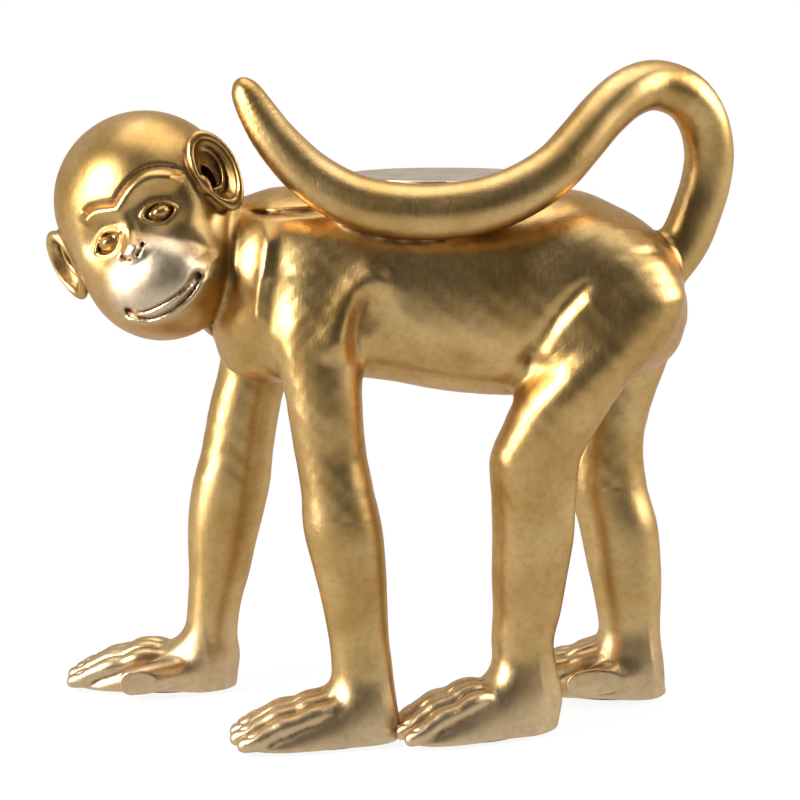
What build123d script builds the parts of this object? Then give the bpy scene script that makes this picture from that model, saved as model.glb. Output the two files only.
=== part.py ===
# A gold monkey that walks on all fours and carries a candle plate on its back.
# The figure faces -X, its left side is -Y, and its feet stand on the ground at Z = 0.
# Every casting is a closed solid, and the castings meet face to face over hidden steel dowels.
import math
import os

from build123d import *

os.makedirs("parts", exist_ok=True)

# Body
spine_height = 115.5
torso_front = -45.4
torso_length = 125.0
torso_half_width = 29.0
torso_half_height = 26.5
torso_squareness = 2.4
torso_ring_points = 16

# Along the torso, rise of the centre over the spine, half width and half height
torso_rise = 4.0
torso_rings_share = (
    (0.000, -1.40, 0.12, 0.12),
    (0.016, -1.10, 0.48, 0.48),
    (0.050, -0.20, 0.74, 0.78),
    (0.110, 0.35, 0.89, 0.95),
    (0.200, 0.45, 0.97, 0.98),
    (0.330, 0.20, 1.00, 0.97),
    (0.500, -0.10, 0.97, 0.98),
    (0.640, -0.10, 0.96, 1.00),
    (0.760, 0.10, 0.98, 1.00),
    (0.860, -0.15, 0.91, 0.86),
    (0.930, -0.45, 0.75, 0.69),
    (0.975, -0.75, 0.52, 0.47),
    (1.000, -1.20, 0.16, 0.14),
)

# Neck, from inside the chest to inside the head
neck_root_radius = 20.0
neck_head_radius = 15.0
neck_middle_share = 0.50
neck_root_inset = 17.0

# Head, in its own frame: forward, left and up from the midpoint between the ears
head_reach = 17.8
head_side = -9.0
head_rise = 19.3
head_turn = 84.0
head_nod = -4.6
head_tilt = 28.0
head_radius = 23.0

# Up the head from the chin: height, way forward, way to the left, half depth and half width
head_rings_share = (
    (-1.435, 0.09, 0.02, 0.13, 0.13),
    (-1.391, 0.07, 0.02, 0.28, 0.27),
    (-1.261, 0.05, 0.02, 0.48, 0.46),
    (-1.087, 0.05, 0.02, 0.66, 0.64),
    (-0.870, 0.04, 0.03, 0.80, 0.79),
    (-0.630, 0.01, 0.06, 0.91, 0.91),
    (-0.260, -0.10, 0.10, 0.97, 0.99),
    (0.087, -0.17, 0.13, 1.00, 1.02),
    (0.435, -0.17, 0.15, 0.97, 0.98),
    (0.740, -0.17, 0.16, 0.86, 0.88),
    (0.965, -0.17, 0.16, 0.67, 0.67),
    (1.115, -0.17, 0.16, 0.42, 0.41),
    (1.190, -0.17, 0.16, 0.14, 0.14),
)
muzzle_radius = 14.2
muzzle_forward = 10.5
muzzle_drop = 17.0
nose_radius = 3.0
nose_forward = 21.2
nose_drop = 8.0
brow_radius = 6.0
brow_forward = 13.3
brow_side = 8.0
brow_up = 6.0
eye_radius = 3.0
eye_forward = 16.6
eye_side = 8.0
eye_drop = 1.5
ear_radius = 9.3
ear_depth = 5.0
ear_wall = 1.8
ear_rim = 1.2
ear_bowl_radius = 7.6
ear_side = 22.6
ear_up = 1.6
left_ear_ahead = 7.8
left_ear_flare = 34.0
right_ear_back = 3.0
right_ear_flare = 42.0

# Forelegs and hind legs: level rings, each with its height as a share of the spine height,
# its way along the stride, its way from shoulder to wrist track, and its two widths
foreleg_half_width = 9.6
foreleg_half_depth = 9.6
shoulder_track = 20.0
left_wrist_track = 23.8
right_wrist_track = 22.8
left_shoulder_station = 27.5
left_foreleg_stride = 12.0
right_shoulder_station = 14.5
right_foreleg_stride = -18.2
left_foreleg_rings_share = (
    (1.085, -0.10, -0.45, 0.50, 0.35),
    (1.045, -0.08, -0.30, 0.92, 0.72),
    (0.980, 0.00, -0.10, 1.20, 1.02),
    (0.902, 0.10, 0.15, 1.14, 1.08),
    (0.770, 0.22, 0.60, 1.01, 1.00),
    (0.670, 0.33, 0.85, 0.96, 0.95),
    (0.581, 0.48, 1.05, 0.98, 0.98),
    (0.491, 0.60, 1.15, 1.06, 1.00),
    (0.401, 0.74, 1.10, 0.98, 0.93),
    (0.333, 0.83, 1.05, 0.90, 0.86),
    (0.240, 0.93, 1.00, 0.82, 0.78),
    (0.165, 1.00, 1.00, 0.83, 0.78),
    (0.075, 0.98, 1.00, 0.84, 0.78),
)
right_foreleg_rings_share = (
    (1.070, -0.22, -0.60, 0.50, 0.35),
    (1.030, -0.16, -0.40, 0.90, 0.72),
    (0.970, -0.04, -0.15, 1.16, 1.02),
    (0.905, 0.12, 0.15, 1.13, 1.06),
    (0.792, 0.29, 0.50, 1.03, 1.02),
    (0.704, 0.44, 0.75, 1.02, 0.98),
    (0.591, 0.57, 1.00, 1.04, 0.98),
    (0.516, 0.66, 1.10, 1.12, 1.02),
    (0.440, 0.75, 1.12, 1.09, 0.98),
    (0.365, 0.82, 1.08, 0.99, 0.90),
    (0.290, 0.87, 1.04, 0.88, 0.82),
    (0.215, 0.95, 1.00, 0.78, 0.78),
    (0.140, 1.00, 1.00, 0.76, 0.78),
    (0.075, 0.98, 1.00, 0.78, 0.78),
)
hindleg_half_width = 11.0
hindleg_half_depth = 10.2
hip_track = 18.0
ankle_track = 16.0
left_hip_station = 108.0
left_hindleg_stride = -26.2
right_hip_station = 113.5
right_hindleg_stride = -7.2
left_hindleg_rings_share = (
    (1.090, -0.02, -0.10, 0.55, 0.40),
    (1.050, -0.02, 0.00, 0.98, 0.85),
    (1.000, 0.00, 0.05, 1.27, 1.14),
    (0.902, 0.22, -0.20, 1.25, 1.16),
    (0.803, 0.56, -0.60, 1.19, 1.14),
    (0.723, 0.75, -0.80, 1.13, 1.08),
    (0.645, 0.90, -0.70, 1.07, 1.00),
    (0.554, 0.91, -0.30, 1.00, 0.94),
    (0.462, 0.91, 0.20, 0.97, 0.92),
    (0.368, 0.94, 0.60, 0.90, 0.84),
    (0.288, 0.96, 0.90, 0.82, 0.76),
    (0.211, 1.00, 1.00, 0.75, 0.72),
    (0.140, 0.96, 1.00, 0.76, 0.72),
    (0.075, 0.92, 1.00, 0.78, 0.70),
)
right_hindleg_rings_share = (
    (1.060, -0.05, -0.10, 0.55, 0.40),
    (1.020, -0.03, 0.00, 0.94, 0.85),
    (0.960, 0.00, 0.05, 1.20, 1.12),
    (0.890, 0.10, -0.20, 1.18, 1.14),
    (0.800, 0.45, -0.60, 1.10, 1.12),
    (0.710, 0.80, -0.80, 1.00, 1.06),
    (0.620, 1.05, -0.70, 0.97, 1.00),
    (0.521, 0.95, -0.30, 0.99, 0.96),
    (0.423, 0.52, 0.20, 0.99, 0.94),
    (0.324, 0.27, 0.60, 0.93, 0.86),
    (0.261, 0.14, 0.90, 0.86, 0.78),
    (0.186, 0.04, 1.00, 0.78, 0.72),
    (0.124, 0.00, 1.00, 0.75, 0.70),
    (0.075, 0.00, 1.00, 0.76, 0.68),
)

# Hands and feet, from the heel to the finger tips
pad_thickness = 1.0
hand_length = 44.0
hand_width = 24.5
hand_height = 11.0
hand_splay = 9.0
foot_length = 41.0
foot_width = 23.0
foot_height = 13.0
foot_splay = 15.0
left_hand_heel = 9.4
right_hand_heel = 2.6
left_foot_heel = 3.2
right_foot_heel = 9.0
sole_rings_share = (
    (0.00, 0.26, 0.42),
    (0.03, 0.48, 0.80),
    (0.10, 0.64, 1.12),
    (0.22, 0.74, 1.26),
    (0.36, 0.82, 1.10),
    (0.52, 0.94, 0.92),
    (0.68, 1.00, 0.78),
    (0.82, 0.96, 0.58),
    (0.92, 0.82, 0.38),
    (0.97, 0.62, 0.26),
    (1.00, 0.32, 0.14),
)
finger_count = 4
finger_spread_share = 0.76
finger_radius_share = 0.105
finger_rings_share = (
    (0.44, 0.55, 0.60, 0.70),
    (0.52, 0.62, 0.74, 1.00),
    (0.66, 0.80, 0.64, 1.06),
    (0.80, 0.95, 0.42, 1.00),
    (0.92, 0.90, 0.22, 0.84),
    (0.98, 0.80, 0.12, 0.50),
)
thumb_radius = 3.4
thumb_length = 14.0
thumb_root_share = 0.34
thumb_side_share = 0.40
thumb_toe_in = 14.0
thumb_rings_share = (
    (0.00, 0.30),
    (0.08, 0.75),
    (0.30, 0.98),
    (0.60, 0.94),
    (0.85, 1.00),
    (0.96, 0.72),
    (1.00, 0.32),
)

# Tail, from inside the rump to its tip: way back over the body, way to the left, rise, and radius
tail_radius = 6.5
tail_reach = 104.0
tail_side = 27.4
tail_rise = 54.5
tail_root_station = 112.0
tail_path_share = (
    (-0.010, -0.04, 0.007, 1.08),
    (-0.071, -0.08, 0.122, 1.08),
    (-0.124, -0.12, 0.252, 1.04),
    (-0.155, -0.12, 0.403, 1.02),
    (-0.174, -0.12, 0.533, 1.01),
    (-0.179, -0.08, 0.679, 1.00),
    (-0.157, 0.00, 0.834, 1.00),
    (-0.107, 0.12, 0.950, 1.00),
    (-0.031, 0.22, 0.999, 1.00),
    (0.040, 0.40, 0.964, 0.99),
    (0.104, 0.56, 0.869, 0.98),
    (0.163, 0.72, 0.747, 0.98),
    (0.225, 0.86, 0.626, 1.00),
    (0.311, 0.97, 0.524, 1.05),
    (0.408, 1.02, 0.458, 1.09),
    (0.529, 1.00, 0.432, 1.09),
    (0.638, 0.98, 0.445, 1.08),
    (0.731, 0.94, 0.496, 1.03),
    (0.822, 0.88, 0.599, 0.97),
    (0.900, 0.82, 0.750, 0.86),
    (0.943, 0.78, 0.868, 0.75),
    (0.970, 0.75, 0.955, 0.62),
    (0.980, 0.74, 0.998, 0.45),
    (0.985, 0.74, 1.022, 0.22),
)

# Candle plate on its boss
plate_station = 60.9
plate_radius = 25.8
plate_thickness = 1.2
plate_edge_radius = 0.4
plate_rise = 4.4
boss_radius = 17.0
boss_depth = 6.0

# Dowels
dowel_radius = 2.0
dowel_clearance = 0.1
leg_dowel_length = 26.0
neck_dowel_length = 24.0
tail_dowel_length = 20.0

# Rubber pads
pad_length_share = 0.62
pad_width_share = 0.58
pad_start_share = 0.14


def torso_outline(half_width, half_height):
    """The closed outline of a torso ring, an ellipse drawn a little square."""
    points = []
    for number in range(torso_ring_points):
        angle = 2 * math.pi * number / torso_ring_points
        cosine = math.cos(angle)
        sine = math.sin(angle)
        across = math.copysign(abs(cosine) ** (2 / torso_squareness), cosine)
        upward = math.copysign(abs(sine) ** (2 / torso_squareness), sine)
        points.append((across * half_width, upward * half_height))
    return points


def leg_rings(rings_share, station, stride, side, track_from, track_to, half_width, half_depth):
    """The level ellipses of a leg, from the top ring down to the ankle."""
    rings = []
    for height, along, across, width, depth in rings_share:
        x = torso_front + station + along * stride
        y = side * (track_from + across * (track_to - track_from))
        with BuildSketch(Plane.XY.offset(height * spine_height)) as ring:
            with Locations((x, y)):
                Ellipse(width * half_width, depth * half_depth)
        rings.append(ring.sketch)
    return rings


def sole_plane(sole, along):
    """The upright plane across a hand or foot, at a share of its length from the heel."""
    swing = math.radians(sole["splay"])
    forward = Vector(-math.cos(swing), math.sin(swing), 0)
    heel = Vector(sole["x"], sole["y"], pad_thickness) - forward * sole["heel"]
    across = Vector(0, 0, 1).cross(forward)
    return Plane(origin=heel + forward * (along * sole["length"]), x_dir=across, z_dir=forward)


def sole_rings(sole):
    """The upright ellipses of a hand or foot, from heel to tips."""
    rings = []
    for along, wide, high in sole_rings_share:
        with BuildSketch(sole_plane(sole, along)) as ring:
            Ellipse(wide * sole["width"] / 2, high * sole["height"])
        rings.append(ring.sketch)
    return rings


def finger_rings(sole, place):
    """The circles of one finger ridge, on top of the hand, at a place from -0.5 to 0.5 across."""
    rings = []
    for along, spread, high, thick in finger_rings_share:
        side_step = place * finger_spread_share * spread * sole["width"]
        with BuildSketch(sole_plane(sole, along)) as ring:
            with Locations((side_step, high * sole["height"])):
                Circle(thick * finger_radius_share * sole["width"])
        rings.append(ring.sketch)
    return rings


def thumb_rings(sole):
    """The circles of the thumb, a rounded rod along the inner side of the hand."""
    root = sole_plane(sole, thumb_root_share)
    start = root.from_local_coords(Vector(sole["inner"] * thumb_side_share * sole["width"], thumb_radius, 0))
    swing = math.radians(sole["splay"] + sole["inner"] * thumb_toe_in)
    forward = Vector(-math.cos(swing), math.sin(swing), 0)
    rings = []
    for along, thick in thumb_rings_share:
        spot = Plane(origin=start + forward * (along * thumb_length), x_dir=(0, 0, 1), z_dir=forward)
        with BuildSketch(spot) as ring:
            Circle(thick * thumb_radius)
        rings.append(ring.sketch)
    return rings


# Head frame
turn = math.radians(head_turn)
nod = math.radians(head_nod)
tilt = math.radians(head_tilt)
level_forward = Vector(-math.cos(turn), -math.sin(turn), 0)
level_left = Vector(math.sin(turn), -math.cos(turn), 0)
upright = Vector(0, 0, 1)
face_forward = level_forward * math.cos(nod) - upright * math.sin(nod)
nodded_up = upright * math.cos(nod) + level_forward * math.sin(nod)
face_up = nodded_up * math.cos(tilt) - level_left * math.sin(tilt)
head_origin = Vector(torso_front - head_reach, head_side, spine_height + head_rise)
head_plane = Plane(origin=head_origin, x_dir=face_forward, z_dir=face_up)

# Places that several pieces share
back_height = spine_height + torso_rise * torso_rings_share[6][1] + torso_half_height * torso_rings_share[6][3]
plate_bottom = back_height + plate_rise
plate_x = torso_front + plate_station
tail_root_x = torso_front + tail_root_station
hole_radius = dowel_radius + dowel_clearance
legs = {
    "left_shoulder": (left_foreleg_rings_share, left_shoulder_station, left_foreleg_stride, -1,
                      shoulder_track, left_wrist_track, foreleg_half_width, foreleg_half_depth),
    "right_shoulder": (right_foreleg_rings_share, right_shoulder_station, right_foreleg_stride, 1,
                       shoulder_track, right_wrist_track, foreleg_half_width, foreleg_half_depth),
    "left_hip": (left_hindleg_rings_share, left_hip_station, left_hindleg_stride, -1,
                 hip_track, ankle_track, hindleg_half_width, hindleg_half_depth),
    "right_hip": (right_hindleg_rings_share, right_hip_station, right_hindleg_stride, 1,
                  hip_track, ankle_track, hindleg_half_width, hindleg_half_depth),
}


def leg_dowel_plane(name):
    """The plane at a leg dowel's middle, on the leg's axis where the leg leaves the body."""
    rings_share, station, stride, side, track_from, track_to, _, _ = legs[name]
    height, along, across, _, _ = rings_share[4]
    high, high_along, high_across, _, _ = rings_share[3]
    low = Vector(
        torso_front + station + along * stride,
        side * (track_from + across * (track_to - track_from)),
        height * spine_height,
    )
    top = Vector(
        torso_front + station + high_along * stride,
        side * (track_from + high_across * (track_to - track_from)),
        high * spine_height,
    )
    return Plane(origin=(low + top) / 2, z_dir=top - low)


neck_from = Vector(torso_front + neck_root_inset, 0, spine_height + torso_rise)
neck_to = Vector(torso_front - head_reach * neck_middle_share, 0, spine_height + head_rise * neck_middle_share)
neck_dowel_plane = Plane(origin=(neck_from + neck_to) / 2 + (neck_to - neck_from) / 2, z_dir=neck_to - neck_from)
tail_start = Vector(tail_root_x, -tail_side * tail_path_share[0][1], spine_height)
tail_second = Vector(
    tail_root_x - tail_reach * tail_path_share[2][0],
    -tail_side * tail_path_share[2][1],
    spine_height + tail_rise * tail_path_share[2][2],
)
tail_dowel_plane = Plane(origin=(tail_start + tail_second) / 2, z_dir=tail_second - tail_start)

dowel_places = {name: (leg_dowel_plane(name), leg_dowel_length) for name in legs}
dowel_places["neck"] = (neck_dowel_plane, neck_dowel_length)
dowel_places["tail_root"] = (tail_dowel_plane, tail_dowel_length)


def dowel_holes():
    """The blind holes that the dowels sit in, each a little longer and wider than its dowel."""
    holes = []
    for plane, length in dowel_places.values():
        hole = Cylinder(hole_radius, length + dowel_clearance * 2, mode=Mode.PRIVATE)
        holes.append(plane * hole)
    return holes


# Torso with the neck stump and the boss under the plate
torso_rings = []
for along, rise, wide, high in torso_rings_share:
    ring_centre = (torso_front + along * torso_length, 0, spine_height + rise * torso_rise)
    with BuildSketch(Plane(origin=ring_centre, x_dir=(0, 1, 0), z_dir=(1, 0, 0))) as torso_ring:
        with BuildLine():
            Spline(torso_outline(wide * torso_half_width, high * torso_half_height), periodic=True)
        make_face()
    torso_rings.append(torso_ring.sketch)

neck_axis = (neck_to - neck_from).normalized()
neck_rings = []
for spot, radius in ((neck_from, neck_root_radius), (neck_to, neck_head_radius)):
    with BuildSketch(Plane(origin=spot, x_dir=(0, 1, 0), z_dir=neck_axis)) as neck_ring:
        Circle(radius)
    neck_rings.append(neck_ring.sketch)

with BuildPart() as torso:
    loft(torso_rings)
    loft(neck_rings, mode=Mode.ADD)
    with Locations((plate_x, 0, plate_bottom)):
        Cylinder(boss_radius, boss_depth, align=(Align.CENTER, Align.CENTER, Align.MAX))
torso_block = torso.part

# Candle plate
with BuildPart() as candle_plate:
    with BuildSketch(Plane.XY.offset(plate_bottom)):
        with Locations((plate_x, 0)):
            Circle(plate_radius)
    extrude(amount=plate_thickness)
    fillet(candle_plate.edges(), plate_edge_radius)
candle_plate.part.label = "candle_plate"
export_step(candle_plate.part, "parts/candle_plate.step")

# Tail, which clears the body and the plate where it passes them
tail_points = []
for back, left, rise, thick in tail_path_share:
    tail_points.append(
        Vector(tail_root_x - back * tail_reach, -left * tail_side, spine_height + rise * tail_rise)
    )
tail_rings = []
for index, point in enumerate(tail_points):
    before = tail_points[max(index - 1, 0)]
    after = tail_points[min(index + 1, len(tail_points) - 1)]
    heading = (after - before).normalized()
    sideways = Vector(0, 1, 0) - heading * heading.Y
    with BuildSketch(Plane(origin=point, x_dir=sideways, z_dir=heading)) as tail_ring:
        Circle(tail_path_share[index][3] * tail_radius)
    tail_rings.append(tail_ring.sketch)

with BuildPart() as tail:
    loft(tail_rings)
    add([torso_block, candle_plate.part], mode=Mode.SUBTRACT)
    add(dowel_holes(), mode=Mode.SUBTRACT)
tail.part.label = "tail"
export_step(tail.part, "parts/tail.step")

# Legs with their hands and feet
hand = {"length": hand_length, "width": hand_width, "height": hand_height}
foot = {"length": foot_length, "width": foot_width, "height": foot_height}
soles = {
    "left_shoulder": ("foreleg_left", hand, -hand_splay, left_hand_heel, 1),
    "right_shoulder": ("foreleg_right", hand, hand_splay, right_hand_heel, -1),
    "left_hip": ("hindleg_left", foot, -foot_splay, left_foot_heel, 1),
    "right_hip": ("hindleg_right", foot, foot_splay, right_foot_heel, -1),
}
leg_solids = {}
leg_soles = {}
for joint, (node, form, splay, heel, inner) in soles.items():
    rings_share, station, stride, side, _, track, _, _ = legs[joint]
    sole = dict(form, splay=splay, heel=heel, inner=inner)
    sole["x"] = torso_front + station + rings_share[-1][1] * stride
    sole["y"] = side * track
    leg_soles[node] = sole
    with BuildPart() as leg:
        loft(leg_rings(*legs[joint]))
        loft(sole_rings(sole))
        for number in range(finger_count):
            loft(finger_rings(sole, number / (finger_count - 1) - 0.5))
        loft(thumb_rings(sole))
        split(bisect_by=Plane.XY.offset(pad_thickness), keep=Keep.TOP)
        add([torso_block, tail.part, *leg_solids.values()], mode=Mode.SUBTRACT)
        add(dowel_holes(), mode=Mode.SUBTRACT)
    leg.part.label = node
    export_step(leg.part, f"parts/{node}.step")
    leg_solids[node] = leg.part

# Head, seated over the neck stump
head_rings = []
for height, ahead, left, deep, wide in head_rings_share:
    with BuildSketch(head_plane.offset(height * head_radius)) as head_ring:
        with Locations((ahead * head_radius, left * head_radius)):
            Ellipse(deep * head_radius, wide * head_radius)
    head_rings.append(head_ring.sketch)

face_balls = [
    ((muzzle_forward, 0, -muzzle_drop), muzzle_radius),
    ((nose_forward, 0, -nose_drop), nose_radius),
]
for side in (-1, 1):
    face_balls.append(((brow_forward, side * brow_side, brow_up), brow_radius))
    face_balls.append(((eye_forward, side * eye_side, -eye_drop), eye_radius))

with BuildPart(Plane.YZ) as ear_cup:
    Cylinder(ear_radius, ear_depth)
    fillet(ear_cup.edges(), ear_rim)
    with Locations((0, 0, ear_wall + ear_bowl_radius - ear_depth / 2)):
        Sphere(ear_bowl_radius, mode=Mode.SUBTRACT)

with BuildPart() as head:
    loft(head_rings)
    for centre, radius in face_balls:
        add(head_plane * Location(centre) * Sphere(radius, mode=Mode.PRIVATE))
    for side, ahead, flare in ((-1, -right_ear_back, right_ear_flare), (1, left_ear_ahead, left_ear_flare)):
        ear_place = Location((ahead, side * ear_side, ear_up)) * Rotation(0, 0, side * flare)
        add(head_plane * ear_place * ear_cup.part)
    add(torso_block, mode=Mode.SUBTRACT)
    add(dowel_holes(), mode=Mode.SUBTRACT)
head.part.label = "head"
export_step(head.part, "parts/head.step")

# The torso last, when the others have taken their seats from it
with BuildPart() as finished_torso:
    add(torso_block)
    add(dowel_holes(), mode=Mode.SUBTRACT)
finished_torso.part.label = "torso"
export_step(finished_torso.part, "parts/torso.step")

# Dowels
for name, (plane, length) in dowel_places.items():
    with BuildPart(plane) as dowel:
        Cylinder(dowel_radius, length)
    dowel.part.label = f"{name}_dowel"
    export_step(dowel.part, f"parts/{name}_dowel.step")

# Rubber pads under the hands and feet
for node, sole in leg_soles.items():
    middle = sole_plane(sole, pad_start_share + pad_length_share / 2)
    with BuildPart() as pad:
        with BuildSketch():
            with Locations(Location((middle.origin.X, middle.origin.Y), -sole["splay"])):
                Ellipse(pad_length_share * sole["length"] / 2, pad_width_share * sole["width"] / 2)
        extrude(amount=pad_thickness)
    pad.part.label = f"{node}_pad"
    export_step(pad.part, f"parts/{node}_pad.step")
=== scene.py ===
import logging
import math
from dataclasses import dataclass, field
from enum import Enum
from typing import Callable, Iterator, Sequence

import bpy
import numpy as np
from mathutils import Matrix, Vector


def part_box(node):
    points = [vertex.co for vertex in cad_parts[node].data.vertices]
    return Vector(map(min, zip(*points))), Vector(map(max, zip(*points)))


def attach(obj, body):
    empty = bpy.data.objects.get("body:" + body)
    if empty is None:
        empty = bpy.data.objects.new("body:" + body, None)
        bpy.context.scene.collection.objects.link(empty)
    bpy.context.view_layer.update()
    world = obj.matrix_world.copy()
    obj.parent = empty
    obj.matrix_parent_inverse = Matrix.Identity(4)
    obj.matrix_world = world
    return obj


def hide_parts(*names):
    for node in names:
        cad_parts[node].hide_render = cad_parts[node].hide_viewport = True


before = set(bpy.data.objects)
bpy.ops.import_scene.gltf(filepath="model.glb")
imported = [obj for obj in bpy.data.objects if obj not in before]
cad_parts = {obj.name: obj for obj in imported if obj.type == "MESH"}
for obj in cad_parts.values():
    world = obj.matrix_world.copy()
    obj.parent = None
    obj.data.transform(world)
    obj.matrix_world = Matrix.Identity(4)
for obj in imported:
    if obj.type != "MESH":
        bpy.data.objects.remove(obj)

import openvdb

log = logging.getLogger("monkey")
Values = np.ndarray
Points = np.ndarray
Field = Callable[[Points], Values]
Socket = bpy.types.NodeSocket
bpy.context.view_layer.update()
MM = 0.001
SPINE_HEIGHT = 115.5
FRONT = -45.4


class Side(Enum):
    """The figure's own left and right, as signs along Y."""

    LEFT = -1
    RIGHT = 1


def smooth_min(a: Values, b: Values, blend: float) -> Values:
    """Joins two shapes with a rounded fillet.

    Args:
        a: distances to the first shape, in mm.
        b: distances to the second shape, in mm.
        blend: reach of the fillet, in mm.

    Returns:
        Distances to the joined shape.
    """
    reach = np.maximum(blend - np.abs(a - b), 0.0) / blend
    return np.minimum(a, b) - reach * reach * blend * 0.25


def smooth_max(a: Values, b: Values, blend: float) -> Values:
    """Cuts one shape by another with a rounded edge, with the arguments of smooth_min."""
    return -smooth_min(-a, -b, blend)


def smooth_step(share: Values) -> Values:
    """Turns shares into ones that start and end softly."""
    held = np.clip(share, 0.0, 1.0)
    return held * held * (3.0 - 2.0 * held)


def curve_through(points: Sequence[Sequence[float]], steps: int = 4) -> Points:
    """Rounds a chain of points into a smooth curve.

    Args:
        points: the chain, each a tuple of coordinates and any radius.
        steps: number of stretches between two points.

    Returns:
        The points of the curve, one row each.
    """
    rows = np.array(points, float)
    padded = np.vstack([2 * rows[0] - rows[1], rows, 2 * rows[-1] - rows[-2]])
    t = np.linspace(0.0, 1.0, steps, endpoint=False)[:, None]
    result = []
    for before, start, end, after in zip(padded, padded[1:], padded[2:], padded[3:]):
        result.append(
            0.5 * (2 * start + (end - before) * t + (2 * before - 5 * start + 4 * end - after) * t ** 2
                   + (3 * start - before - 3 * end + after) * t ** 3)
        )
    return np.vstack([*result, rows[-1:]])


def stretches(points: Points, chain: Points) -> Iterator[tuple[Values, Values]]:
    """Walks along a chain, giving for each stretch the nearest shares of it and the squared distances."""
    for start, end in zip(chain, chain[1:]):
        run = end - start
        share = np.clip((points - start) @ run / max(float(run @ run), 1e-9), 0.0, 1.0)
        apart = points - start - share[:, None] * run
        yield share, np.einsum("ij,ij->i", apart, apart)


def chain_distance(points: Points, chain: Points) -> tuple[Values, Values]:
    """Finds how far points lie from a chain of straight stretches.

    Args:
        points: places, one row each.
        chain: the chain's points, in as many dimensions as the places.

    Returns:
        The distances, and the way along the chain from 0 to 1 at the nearest place.
    """
    best = np.full(len(points), np.inf)
    along = np.zeros(len(points))
    for index, (share, squared) in enumerate(stretches(points, chain)):
        nearer = squared < best
        best[nearer] = squared[nearer]
        along[nearer] = (index + share[nearer]) / (len(chain) - 1)
    return np.sqrt(best), along


def rod_distance(points: Points, chain: Points, radii: Sequence[float]) -> Values:
    """Gives the distances to a rod of changing radius along a chain, in mm."""
    best = np.full(len(points), np.inf)
    for index, (share, squared) in enumerate(stretches(points, chain)):
        radius = radii[index] + share * (radii[index + 1] - radii[index])
        best = np.minimum(best, np.sqrt(squared) - radius)
    return best


def ball_distance(points: Points, centre: Sequence[float], radii: Sequence[float]) -> Values:
    """Gives the distances to an egg-shaped ball with three radii, in mm."""
    reach = points - np.array(centre)
    sizes = np.array(radii)
    near = np.linalg.norm(reach / sizes, axis=1)
    slope = np.linalg.norm(reach / sizes ** 2, axis=1)
    return near * (near - 1.0) / np.maximum(slope, 1e-6)


def dent(distance: Values, width: float, depth: float) -> Values:
    """Gives the depth of a soft groove at a distance from its line, in mm."""
    return depth * np.exp(-(distance / width) ** 2)


def band(distance: Values, place: float, width: float, depth: float) -> Values:
    """Gives the depth of a soft groove that runs at one distance round its line."""
    return dent(distance - place, width, depth)


def trench(distance: Values, edge: float, width: float, depth: float) -> Values:
    """Gives the depth of a flat-bottomed groove with soft walls beyond its edge."""
    return dent(np.maximum(distance - edge, 0.0), width, depth)


@dataclass
class SectionForm:
    """A form drawn as a row of oval sections along one line.

    Args:
        rows: for each section, the way along, its centre's two coordinates and its two half sizes, in mm.
        squareness: 2 for ovals, more for squarer sections.
        samples: stretches between two sections.
        steepest: the most that a slope along the line counts, against the slope across it.
        thinnest: least half size, in mm.
    """

    rows: Sequence[Sequence[float]]
    squareness: float = 2.0
    samples: int = 24
    steepest: float = 1.6
    thinnest: float = 0.05

    def __post_init__(self) -> None:
        """Rounds the rows into a smooth table with slopes."""
        table = curve_through(self.rows, self.samples)
        table[:, 3:] = np.maximum(table[:, 3:], self.thinnest)
        self.table = table[np.argsort(table[:, 0])]
        self.slopes = np.gradient(self.table, self.table[:, 0] + np.arange(len(table)) * 1e-6, axis=0)

    def distance(self, along: Values, first: Values, second: Values) -> Values:
        """Gives the distances to the form.

        Args:
            along: the points' way along the form's line, in mm.
            first: their first coordinate across it.
            second: their second coordinate across it.

        Returns:
            The distances, in mm.
        """
        places = self.table[:, 0]
        held = np.clip(along, places[0], places[-1])
        centre_a, centre_b, half_a, half_b = (np.interp(held, places, row) for row in self.table.T[1:])
        slope_ca, slope_cb, slope_a, slope_b = (np.interp(held, places, row) for row in self.slopes.T[1:])
        across = first - centre_a
        upward = second - centre_b
        share_a = np.abs(across) / half_a
        share_b = np.abs(upward) / half_b
        power = self.squareness
        ring = np.maximum(share_a ** power + share_b ** power, 1e-9) ** (1.0 / power)
        pull = np.maximum(ring, 1e-3) ** (1.0 - power)
        slope_first = pull * share_a ** (power - 1) / half_a
        slope_second = pull * share_b ** (power - 1) / half_b
        slope_along = (
            slope_first * (np.sign(across) * slope_ca + share_a * slope_a)
            + slope_second * (np.sign(upward) * slope_cb + share_b * slope_b)
        )
        sideways = np.sqrt(slope_first ** 2 + slope_second ** 2)
        slope_along = np.clip(slope_along, -self.steepest * sideways, self.steepest * sideways)
        flat = (ring - 1.0) / np.maximum(np.hypot(sideways, slope_along), 0.02)
        flat = np.maximum(flat, -np.minimum(half_a, half_b))
        beyond = np.maximum(along - places[-1], places[0] - along)
        outside = np.hypot(np.maximum(flat, 0.0), np.maximum(beyond, 0.0))
        return np.where(beyond > 0, outside, np.maximum(flat, beyond))


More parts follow.
